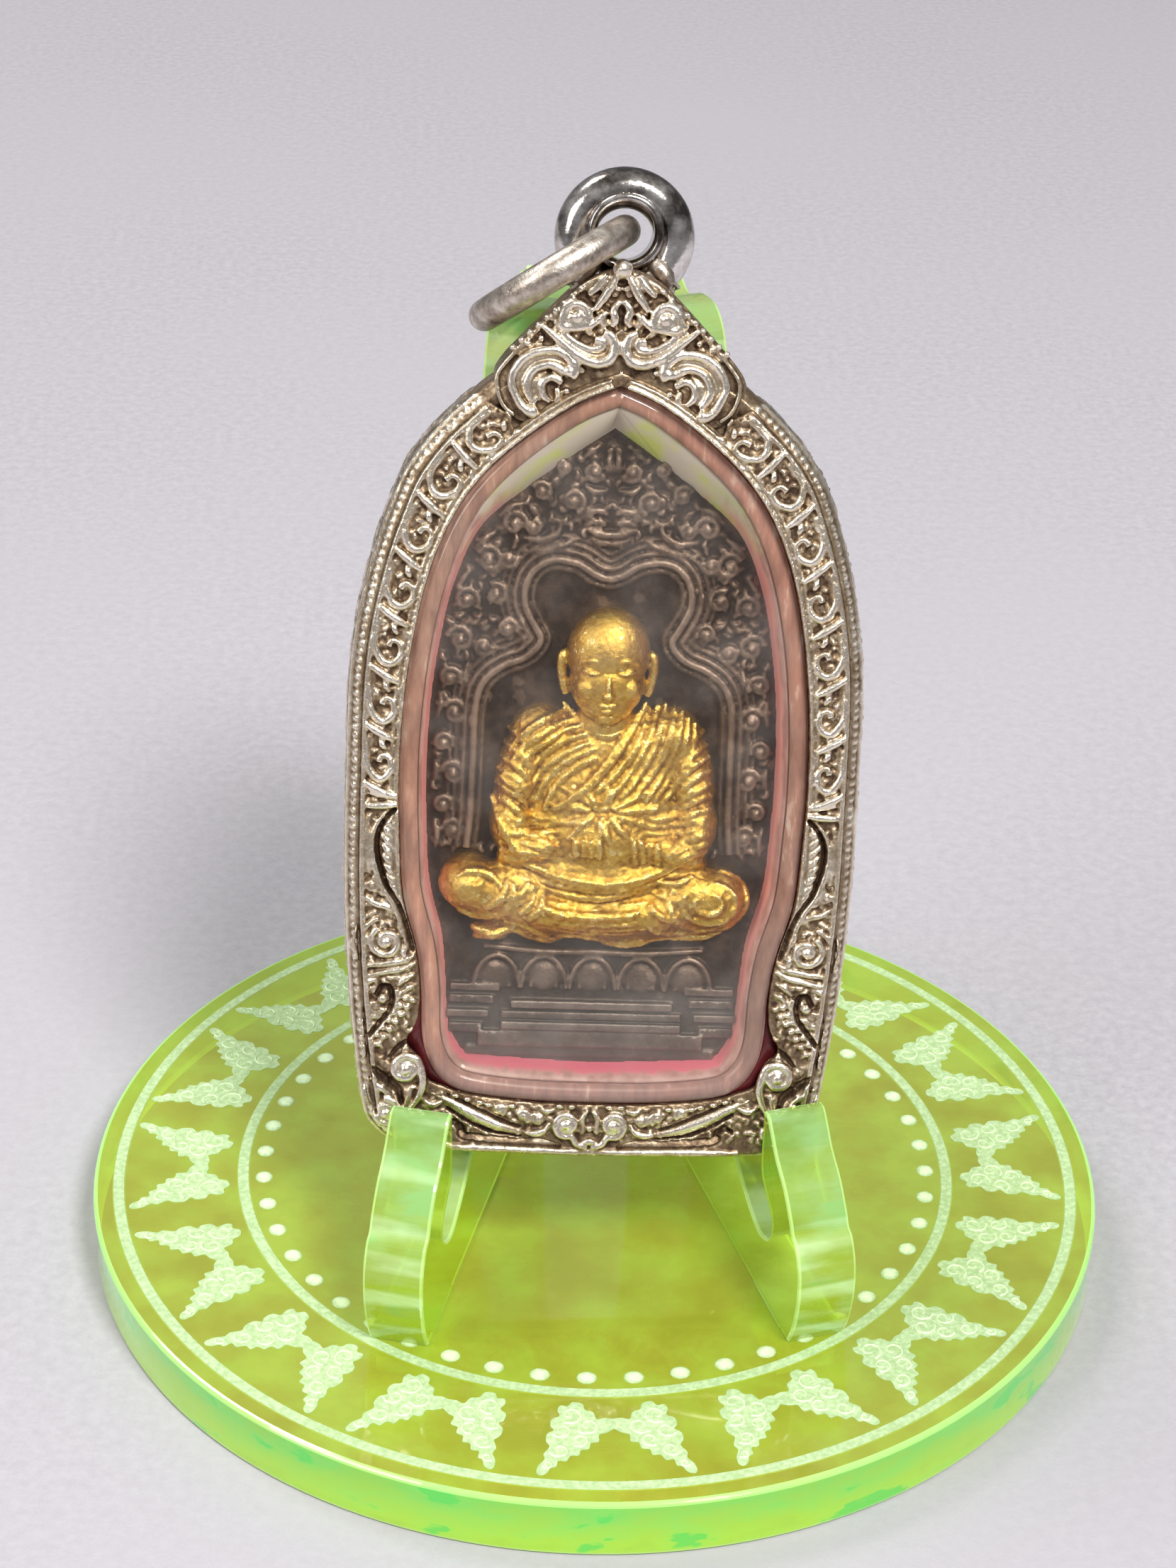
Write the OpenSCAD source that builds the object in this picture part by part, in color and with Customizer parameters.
// Framed amulet pendant leaning in a clear coloured display stand.
// Millimetres, +Z up, front towards -Y, origin under the middle of the stand's disc.

/* [Stand] */
// Diameter of the round base
disc_d = 70; // [60:1:90]
// Thickness of the round base
disc_t = 4.2; // [3:0.1:6]
// Radius of the outer engraved line
line_outer_r = 33.2; // [30:0.1:34]
// Radius of the inner engraved line
line_inner_r = 24.6; // [23.5:0.1:27]
// Width of the engraved lines
line_w = 0.9; // [0.5:0.1:1.5]
// Depth of the engraved lines
line_depth = 0.15; // [0.1:0.05:0.5]
// Thickness of each leg plate
leg_t = 4; // [3:0.1:5]
// Half the gap between the legs at the front
leg_gap = 11.7; // [11:0.1:12.5]
// How far the legs turn in towards the back, in degrees
toe_in = 15; // [12:0.5:16]
// Distance of the leg's front reference point from the middle of the base
leg_front = 20; // [18:0.5:21]
// Height of the tall back's top
leg_top = 63.7; // [62:0.1:63.7]

/* [Seat] */
// How far the pendant leans back, in degrees
lean = 17.5; // [15:0.5:20]
// How far the pendant sits turned in its own plane, in degrees
roll = 2; // [0:0.5:3]
// Sideways place of the pendant's bottom edge
seat_x = -1.2; // [-2:0.1:2]
// Distance of the pendant's bottom front edge in front of the middle
seat_y = 13.6; // [13:0.1:14]
// Height of the pendant's bottom front edge
seat_z = 14.4; // [14:0.1:15]

/* [Case] */
// Depth of the case from front to back
case_d = 7; // [6.6:0.1:8]
// Half width of the case at its widest
case_half_w = 16.4; // [16:0.1:17]
// Thickness of the side wall
case_wall = 1.5; // [1.3:0.1:1.8]
// Thickness of the front and back flanges
flange_t = 0.5; // [0.4:0.1:0.6]
// Height of the raised ornament on the front flange
relief_h = 0.45; // [0.3:0.05:0.6]
// How far the flanges stand in from the bulging side wall
flange_in = 0.75; // [0.5:0.05:1]
// Depth of the gable from front to back
gable_d = 4.6; // [4:0.1:5]
// Number of scroll cells in each side band
cells = 8; // [6:1:10]

/* [Bail] */
// Height of the bail's hole above the case's bottom edge
bail_z = 59.7; // [59.5:0.1:60]
// Radius of the bail's hole
bail_hole_r = 1.8; // [1.6:0.05:1.9]
// How far the middle of the bail's tube lies below the middle of its hole
bail_drop = 0.45; // [0:0.05:0.6]
// Radius of the bail's bent tube, taken along its middle
bail_r = 3.1; // [3:0.05:3.2]
// Radius of the bail's tube
bail_tube_r = 1.3; // [1.2:0.05:1.4]
// Length of the plain lip round the hole
bail_lip = 3; // [2.8:0.1:3.4]
// Radius of the jump ring, taken along the middle of its wire
ring_r = 5.1; // [5:0.1:5.4]
// Radius of the jump ring's wire
ring_wire_r = 1; // [0.9:0.05:1.05]
// How far the jump ring hangs below level, in degrees
ring_droop = 33; // [26:0.5:33]
// How far the jump ring's back hangs lower than its front, in degrees
ring_tilt = 5; // [0:0.5:5]

/* [Windows and plate] */
// Thickness of the clear walls
pane_t = 0.8; // [0.6:0.1:1]
// Width of the clear cup's wall
cup_wall = 1.25; // [1:0.05:1.4]
// Thickness of the amulet plate
plate_t = 0.95; // [0.8:0.05:1.2]
// Height of the lines and scrolls raised on the plate
plate_relief = 0.3; // [0.2:0.05:0.4]

/* [Hidden] */
$fn = 48;
// running gap left between pieces that lie against each other
gap = 0.05;
// overlap that fuses the bodies of one solid
bite = 0.05;

// depths from the front of the case
flange_y = relief_h;
pane_y = flange_y + flange_t + gap;
lens_y = 0.35;
cup_inner_y = lens_y + pane_t;
back_flange_y = case_d - flange_t;
lid_y = back_flange_y - gap - pane_t;
plate_back_y = lid_y - 2 * gap;
plate_y = plate_back_y - plate_t;
gable_y = 1.2;
bail_y = gable_y + gable_d / 2;

// side wall of the case: straight stretch, then arcs that close in above and below
wall_low = 22;
wall_high = 29.2;
arc_low_r = 116;
arc_high_r = 39;

// outlines of the case's openings, right half from the bottom to the point
HALF = 0;
HEIGHT = 1;
opening_rows = [
    [0, 3.58], [4, 3.66], [8, 4.1], [9.6, 4.6], [10.7, 5.1], [11.2, 6.5], [12.1, 7.5],
    [11.45, 9], [11.3, 11], [11.65, 13.7], [12.6, 17.2], [12.9, 21], [13.05, 25],
    [12.9, 29.5], [12.4, 34], [11.5, 38.3], [10.1, 41.9], [8.2, 44.7], [5.6, 47.1],
    [2.6, 49.2], [0, 50.3]];
glass_rows = [
    [0, 3.72], [4, 3.8], [7.8, 4.2], [9.4, 4.85], [10.45, 6.2], [10.95, 8], [11.1, 11],
    [11.5, 13.8], [12.42, 17.2], [12.74, 21], [12.9, 25], [12.75, 29.5], [12.25, 34],
    [11.35, 38.2], [9.97, 41.8], [8.1, 44.5], [5.5, 46.93], [2.55, 49], [0, 50.1]];
plate_rows = [
    [0, 5.2], [7.4, 5.6], [8.7, 6.3], [9.45, 8], [9.7, 11], [10.05, 14], [10.95, 17.5],
    [11.25, 21.5], [11.35, 25], [11.2, 29.5], [10.7, 33.5], [9.9, 37.2], [8.3, 40.8],
    [5.4, 43.4], [2.5, 45.6], [0, 47.3]];

// outline helpers
function unit(v) = v / norm(v);
function arc(c, r, a0, a1, n) =
    [for (i = [0:n]) let (a = a0 + (a1 - a0) * i / n) c + r * [cos(a), sin(a)]];
function flip(p) = [for (i = [len(p) - 1:-1:0]) [-p[i][HALF], p[i][HEIGHT]]];
function drop_ends(p) = [for (i = [1:len(p) - 2]) p[i]];
// whole outline from a right half that starts and ends on the middle line
function whole(p) = concat(p, drop_ends(flip(p)));
// outline moved inwards by d, or outwards where d is negative
function inset(p, d) = let (n = len(p)) [for (i = [0:n - 1])
    let (u = unit(p[i] - p[(i + n - 1) % n]),
         v = unit(p[(i + 1) % n] - p[i]),
         nu = [-u[1], u[0]],
         m = unit(nu + [-v[1], v[0]]))
    p[i] + m * d / max(0.5, m * nu)];

function wall_half(z) =
    z < wall_low ? case_half_w - pow(wall_low - z, 2) / (2 * arc_low_r) :
    z < wall_high ? case_half_w :
    case_half_w - arc_high_r + sqrt(pow(arc_high_r, 2) - pow(z - wall_high, 2));

case_half = concat(
    [[0, 0], [9, 0]],
    arc([12.1, 2.75], 2.65, -85, -8, 5),
    [for (z = [5:3:44]) [wall_half(z), z]],
    [[12.6, 45.6], [11.2, 47.4], [9, 49.5], [7.6, 50.6], [0, 54.6]]);

// pendant frame: x to the right, y from the front of the case to its back, z up its face
module seat() {
    translate([seat_x, -seat_y, seat_z]) rotate([-lean, 0, 0]) rotate([0, roll, 0])
        children();
}
// slab of an upright outline between two depths
module slab(y0, y1) {
    translate([0, y1, 0]) rotate([90, 0, 0]) linear_extrude(y1 - y0) children();
}
// raised ring of an ornament, drawn flat
module curl(x, z, r, w) {
    translate([x, z]) difference() {
        circle(r);
        circle(r - w);
    }
}
module both_sides() {
    children();
    mirror([1, 0, 0]) children();
}

// one leg plate, drawn from its front reference point with the height as y
hook_wall = 6.4;
back_slope = 0.3263;
back_foot = [13.8, 12.4];
back_top_z = leg_top - 3;
module leg_profile() {
    back_top_x = back_foot[0] + 0.1 + back_slope * (back_top_z - back_foot[1]);
    polygon(concat(
        arc([6.8, 8.8], 8.1, 214.2, 126.9, 8),
        [[2.7, 14.9], [4.5, 17], [5.5, 18.3], [6, 18.5], [hook_wall, 18.2],
         [hook_wall, 13.6], [5.2, 12.4], [3.9, 11.2], [4.3, 9.7], [6.5, 8.8], [9.5, 10.3],
         [11.6, 11.75], [12.3, 12.1], back_foot, [back_foot[0] + 0.25, back_foot[1] + 0.5],
         [back_top_x, back_top_z]],
        arc([back_top_x + 3, leg_top - 3.4], 3.4, 150, 80, 5),
        [[back_top_x + 5.2, leg_top - 0.2], [back_top_x + 8.2, leg_top - 1.2],
         [back_top_x + 9.8, leg_top - 0.5], [back_top_x + 11.2, leg_top - 1],
         [back_top_x + 11.9, leg_top - 2.4],
         [38.5, 45], [35.2, 30], [33.4, 18], [33.8, 10], [35.5, leg_foot_z]],
        [for (t = tabs) each [[t[1], leg_foot_z], [t[1], tab_foot_z],
                              [t[0], tab_foot_z], [t[0], leg_foot_z]]]));
}
leg_foot_z = disc_t + gap;
tab_foot_z = 0.3;
// tabs of the leg, each from its front to its back end, the rear one first
tabs = [[24, 31], [1.5, 6.5]];
module leg_place() {
    translate([leg_gap, -leg_front, 0]) rotate([0, 0, 90 + toe_in]) children();
}
module leg() {
    leg_place() rotate([90, 0, 0]) linear_extrude(leg_t) leg_profile();
}

module stand_base() {
    slot_gap = 0.1;
    color("yellowgreen") difference() {
        cylinder(d = disc_d, h = disc_t, $fn = 96);
        for (r = [line_outer_r, line_inner_r])
            translate([0, 0, disc_t - line_depth]) difference() {
                cylinder(r = r + line_w / 2, h = 1, $fn = 96);
                translate([0, 0, -1]) cylinder(r = r - line_w / 2, h = 3, $fn = 96);
            }
        both_sides() leg_place() for (t = tabs)
            translate([t[0] - slot_gap, -leg_t - slot_gap, -1])
                cube([t[1] - t[0] + 2 * slot_gap, leg_t + 2 * slot_gap, disc_t + 2]);
    }
}
module cradle_right() color("greenyellow") leg();
module cradle_left() color("greenyellow") mirror([1, 0, 0]) leg();

// case wall: slices that bulge outwards between the flanges
// [inset from the widest outline, front depth, back depth]
INSET = 0;
FRONT = 1;
BACK = 2;
slices = [[flange_in, flange_y, case_d], [0.3, 1.1, case_d - 0.6], [0, 1.8, case_d - 1.3]];
module case_body() {
    for (s = slices) slab(s[FRONT], s[BACK]) polygon(inset(whole(case_half), s[INSET]));
}
module case_hollow() {
    slab(flange_y + flange_t, back_flange_y) polygon(inset(whole(case_half), case_wall));
    slab(-1, case_d + 1) polygon(whole(opening_rows));
}

// middle line of a side band at height z
function band_x(z) = (wall_half(z) - flange_in + lookup(z, band_inner)) / 2;
band_inner = [for (r = opening_rows) if (r[HEIGHT] > 12) [r[HEIGHT], r[HALF]]];
cell_z0 = 24.6;
cell_z1 = 46.6;
cross_z = 23;
relief_y = flange_y + bite;

module side_band() {
    pitch = (cell_z1 - cell_z0) / (cells - 1);
    slab(0, relief_y) {
        for (i = [0:cells - 1]) {
            z = cell_z0 + i * pitch;
            lean_in = atan(band_x(z) - band_x(z + 1));
            translate([band_x(z), z]) rotate(lean_in) {
                curl(0, 0, 0.85, 0.4);
                translate([-1, pitch * 0.42]) rotate(-22) square([2, 0.42]);
            }
        }
        for (dz = [0, -0.75]) translate([band_x(cross_z) - 1.2, cross_z + dz]) square([2.4, 0.4]);
    }
}
// leaf below the cross bars, with slanted ribs
module leaf() {
    slab(flange_y - 0.25, relief_y)
        polygon([[14.1, 21.9], [14.9, 20.2], [14.9, 18.2], [13.7, 15.7], [13, 14.6], [13.1, 17.5], [13.5, 20]]);
    slab(0, relief_y) for (z = [16.4:1.1:20.8])
        translate([14, z]) rotate(-38) square([1.7, 0.35], center = true);
}
module corner_scrolls() {
    slab(0, relief_y) {
        curl(13.6, 13, 1.15, 0.4);
        curl(13.6, 9.7, 1.25, 0.45);
        curl(13.4, 6.1, 1.15, 0.4);
        curl(12.3, 3.4, 1.1, 0.4);
        curl(11.9, 5.6, 0.75, 0.35);
        translate([13.6, 9.7]) circle(0.4);
        translate([13.4, 6.1]) circle(0.35);
    }
}
module bottom_scrolls() {
    slab(0, relief_y) {
        curl(1.5, 2.1, 0.95, 0.35);
        curl(3.6, 2.5, 0.65, 0.3);
        translate([1.5, 2.1]) circle(0.3);
        translate([4, 1]) square([6.6, 0.5]);
        polygon([[4.6, 3.2], [7.6, 2.6], [10.6, 3.5], [7.8, 2]]);
    }
}

// gable between the shoulders and the bail
gable_half = [[0, 50.9], [4.2, 48.6], [5.6, 47.8], [7.2, 48.6], [7.85, 50.3], [7.5, 51.4],
              [2.9, 56.3], [1.8, 57.15], [0.9, 57.45], [0, 57.5]];
big_volute = [5.3, 50.2];
module gable() {
    slab(gable_y, gable_y + gable_d) polygon(whole(gable_half));
    both_sides() slab(0.25, gable_y + bite) {
        curl(big_volute[0], big_volute[1], 2.4, 0.6);
        curl(big_volute[0], big_volute[1], 1.35, 0.45);
        curl(1.75, 52.8, 1.3, 0.4);
        curl(2.85, 54.5, 1.1, 0.4);
        translate([big_volute[0], big_volute[1]]) circle(0.5);
        translate([1.75, 52.8]) circle(0.45);
        translate([2.85, 54.5]) circle(0.35);
    }
    slab(0.6, gable_y + bite) polygon(whole([[0, 51.3], [4.4, 51.2], [6.9, 51.9], [2.7, 56.4], [0, 57.6]]));
    translate([0, gable_y - 0.15, 57.25]) sphere(0.6, $fn = 24);
}

// bail: bent tube with a plain lip round the hole and a collar at each foot
collar_turn = 40;
module bail() {
    translate([0, bail_y, bail_z]) rotate([90, 0, 0])
        cylinder(r = bail_hole_r + 0.55, h = bail_lip, center = true);
    translate([0, bail_y, bail_z - bail_drop]) {
        rotate([90, 0, 0]) rotate_extrude() translate([bail_r, 0]) circle(bail_tube_r, $fn = 32);
        both_sides() rotate([0, collar_turn, 0]) translate([bail_r + 0.05, 0, 0])
            cylinder(r = bail_tube_r + 0.15, h = 1, center = true);
    }
}
module bail_bore() {
    translate([0, bail_y, bail_z]) rotate([90, 0, 0])
        cylinder(r = bail_hole_r, h = bail_lip + 4, center = true);
}

module case() {
    color("silver") seat() difference() {
        union() {
            case_body();
            both_sides() {
                side_band();
                leaf();
                corner_scrolls();
                bottom_scrolls();
            }
            gable();
            bail();
        }
        case_hollow();
        bail_bore();
    }
}

// ring through the bail, drooping to the left with its wire in the middle of the hole
module jump_ring() {
    color("lightgray") seat() translate([0, bail_y, bail_z]) rotate([0, -ring_droop, 0])
        rotate([-ring_tilt, 0, 0]) translate([-ring_r, 0, 0]) rotate_extrude($fn = 96)
            translate([ring_r, 0]) circle(ring_wire_r, $fn = 32);
}

// clear cup: lens through the front opening, and a rim that fills the case round the plate
module window_rim(y0, y1) {
    slab(y0, y1) polygon(inset(whole(case_half), case_wall + gap));
}
module window_front() {
    glass = whole(glass_rows);
    color("lavenderblush", 0.4) seat() difference() {
        union() {
            slab(lens_y, pane_y + pane_t) polygon(glass);
            window_rim(pane_y, lid_y - gap);
        }
        slab(cup_inner_y, case_d) polygon(inset(glass, cup_wall));
    }
}
module window_back() {
    color("lavenderblush", 0.4) seat() {
        window_rim(lid_y, lid_y + pane_t);
        slab(lid_y + pane_t - bite, case_d - 0.2) polygon(whole(glass_rows));
    }
}

// halo outline round the head and shoulders, grown by g
module halo(g) {
    translate([0, 33.6]) circle(4.3 + g);
    both_sides() translate([3.2, 35.3]) circle(2.4 + g);
    translate([-4.3 - g, 26]) square([8.6 + 2 * g, 5.6]);
    both_sides() translate([4.2, 26.8]) circle(3.6 + g);
    translate([-7.8 - g, 17]) square([15.6 + 2 * g, 9.8]);
}
module halo_line(g) {
    difference() {
        halo(g);
        halo(g - 0.35);
    }
}
scroll_rows = [
    // x, height, radius of the curls outside the halo
    [1.5, 43.4, 0.8], [4, 42.2, 0.8], [6.3, 40.4, 0.9], [7.9, 37.8, 0.9], [9.1, 34.9, 0.9],
    [9.7, 31.8, 0.85], [10, 28.6, 0.85], [10.1, 25.4, 0.8], [10.1, 22.4, 0.8]];
base_rows = [
    // half width, height and thickness of the steps under the lotus
    [5.6, 9.8, 0.4], [6.2, 8.6, 0.45], [6.3, 7.7, 0.4], [7.7, 6.2, 0.7]];
module amulet_plate() {
    color("dimgray") seat() {
        slab(plate_y, plate_back_y) polygon(whole(plate_rows));
        slab(plate_y - plate_relief, plate_y + bite) {
            intersection() {
                for (g = [0.7, 1.35, 2]) halo_line(g);
                translate([-20, 19.5]) square([40, 40]);
            }
            both_sides() for (s = scroll_rows) curl(s[0], s[1], s[2], 0.3);
            for (x = [-6.6:2.2:6.6]) translate([x, 11.6]) intersection() {
                curl(0, 0, 1.05, 0.35);
                translate([-2, 0]) square([4, 2]);
            }
            for (s = base_rows) translate([-s[0], s[1] - s[2] / 2]) square([2 * s[0], s[2]]);
            both_sides() translate([7, 8.2]) square([1.9, 1.9]);
        }
    }
}

// rounded lump of the figure: middle, then half sizes across, in depth and up
module lump(at, half) {
    translate(at) hull() scale(half) sphere(1, $fn = 18);
}
// raised fold between two points of the robe
module fold(a, b, r) {
    hull() {
        translate(a) sphere(r, $fn = 8);
        translate(b) sphere(r, $fn = 8);
    }
}
module gold_figure() {
    fy = plate_y - gap;
    color("goldenrod") seat() intersection() {
        union() {
            // head with a plain face on even proportions, ears and neck
            lump([0, fy - 0.5, 32.2], [2.85, 2.6, 3.75]);
            lump([0, fy - 3, 31.4], [0.35, 0.35, 0.7]);
            both_sides() lump([3.05, fy - 0.5, 31.6], [0.55, 0.6, 1.3]);
            lump([0, fy, 28.6], [2.2, 1.9, 1.6]);
            // shoulders, chest and belly
            lump([0, fy, 26.8], [5.6, 2.1, 2.5]);
            lump([0, fy, 22.6], [5.2, 2.7, 5.2]);
            lump([0, fy - 0.3, 19.4], [4.6, 2.6, 2.8]);
            // arms
            both_sides() {
                lump([5.1, fy, 25], [1.6, 1.8, 3.4]);
                lump([6, fy, 21.6], [1.3, 1.8, 2.4]);
                lump([4, fy - 1.2, 18.9], [3, 1.5, 1.2]);
                // crossed legs and knees
                lump([6.2, fy - 0.2, 16.9], [4, 2.4, 2.3]);
                lump([3, fy - 0.8, 16], [4.6, 2.2, 1.7]);
            }
            lump([0, fy - 1.6, 18.2], [1.7, 1.1, 0.8]);
            // hem of the robe over the seat
            lump([0, fy, 14.9], [8, 1.9, 1.2]);
            // robe edge over the left shoulder, sash and folds
            fold([4.3, fy - 1.1, 27.4], [2.2, fy - 1.9, 25.6], 0.3);
            fold([2.2, fy - 1.9, 25.6], [-1.8, fy - 2.6, 21.4], 0.3);
            fold([5.4, fy - 1.4, 25.2], [2, fy - 2.4, 21.8], 0.3);
            fold([-3.6, fy - 1.9, 22.2], [3.6, fy - 1.9, 22], 0.35);
            fold([-4, fy - 2.45, 15.6], [4, fy - 2.45, 15.6], 0.35);
        }
        translate([-20, cup_inner_y + gap, 0]) cube([40, fy - cup_inner_y - gap, 60]);
    }
}

stand_base();
cradle_left();
cradle_right();
case();
jump_ring();
window_front();
window_back();
amulet_plate();
gold_figure();
